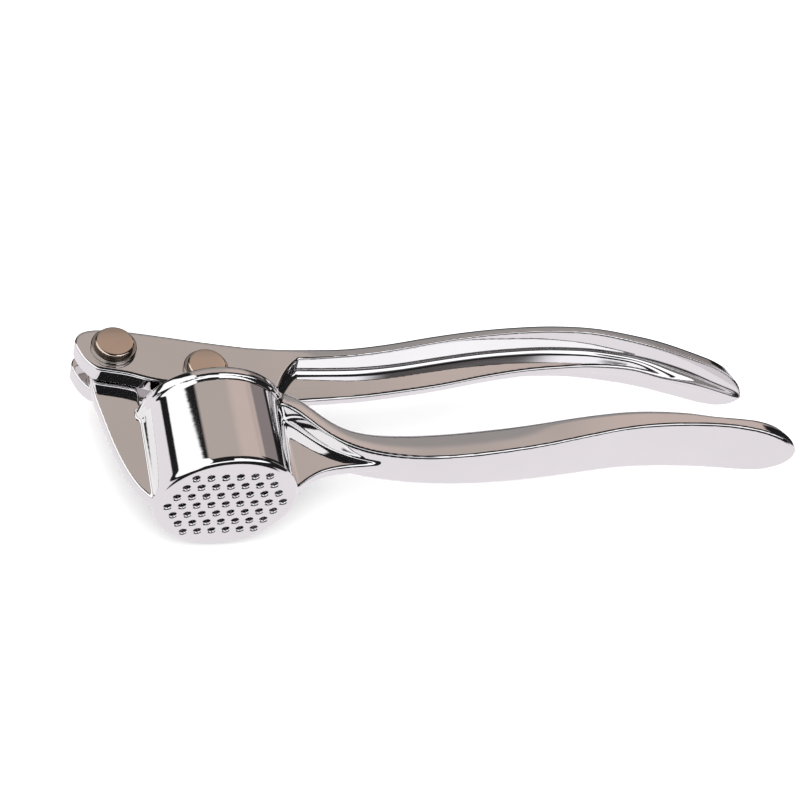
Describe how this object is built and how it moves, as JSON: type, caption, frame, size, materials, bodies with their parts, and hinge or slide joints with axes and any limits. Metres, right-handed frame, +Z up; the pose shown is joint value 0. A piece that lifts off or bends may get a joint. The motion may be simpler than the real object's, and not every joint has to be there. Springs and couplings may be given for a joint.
{
  "type": "garlic press",
  "caption": "Hand-held garlic press: hinged plunger pushed into a perforated cup by two long handles on one rivet.",
  "frame": {"origin": "under the middle of the press's box, on the surface it lies on, with the press on its side and closed", "axes": "+X from the pivot end to the handle tips, +Y along the cup from the strainer to its mouth, +Z up along both rivets"},
  "size_m": [0.155, 0.04, 0.0302],
  "materials": {
    "lower_handle": "mirror chrome plate over zinc die casting, light handling marks",
    "upper_handle": "mirror chrome plate over zinc die casting, light handling marks",
    "plunger": "mirror chrome plate over zinc die casting, light handling marks",
    "pivot_rivet": "polished plated rivet, slightly warm tone",
    "plunger_rivet": "polished plated rivet, slightly warm tone",
    "pivot_washer_near": "polished plated rivet, slightly warm tone",
    "pivot_washer_far": "polished plated rivet, slightly warm tone",
    "plunger_washer_near": "polished plated rivet, slightly warm tone",
    "plunger_washer_far": "polished plated rivet, slightly warm tone"
  },
  "bodies": {
    "lower": {"lower_handle": "lower_handle"},
    "upper": {"upper_handle": "upper_handle", "pivot_rivet": "pivot_rivet", "plunger_rivet": "plunger_rivet", "pivot_washer_near": "pivot_washer_near", "pivot_washer_far": "pivot_washer_far", "plunger_washer_near": "plunger_washer_near", "plunger_washer_far": "plunger_washer_far"},
    "ram": {"plunger": "plunger"}
  },
  "joints": [
    {"name": "handle_pivot", "type": "hinge", "parent": "lower", "child": "upper", "pos_m": [-0.0699, 0.0152, 0.0151], "axis": [0, 0, 1], "range_deg": [0, 65]},
    {"name": "plunger_pivot", "type": "hinge", "parent": "upper", "child": "ram", "pos_m": [-0.052, 0.0091, 0.0151], "axis": [0, 0, 1], "range_deg": [-59, 0]}
  ],
  "couplings": [
    {"joint": "plunger_pivot", "follows": "handle_pivot", "ratio": -0.9}
  ]
}
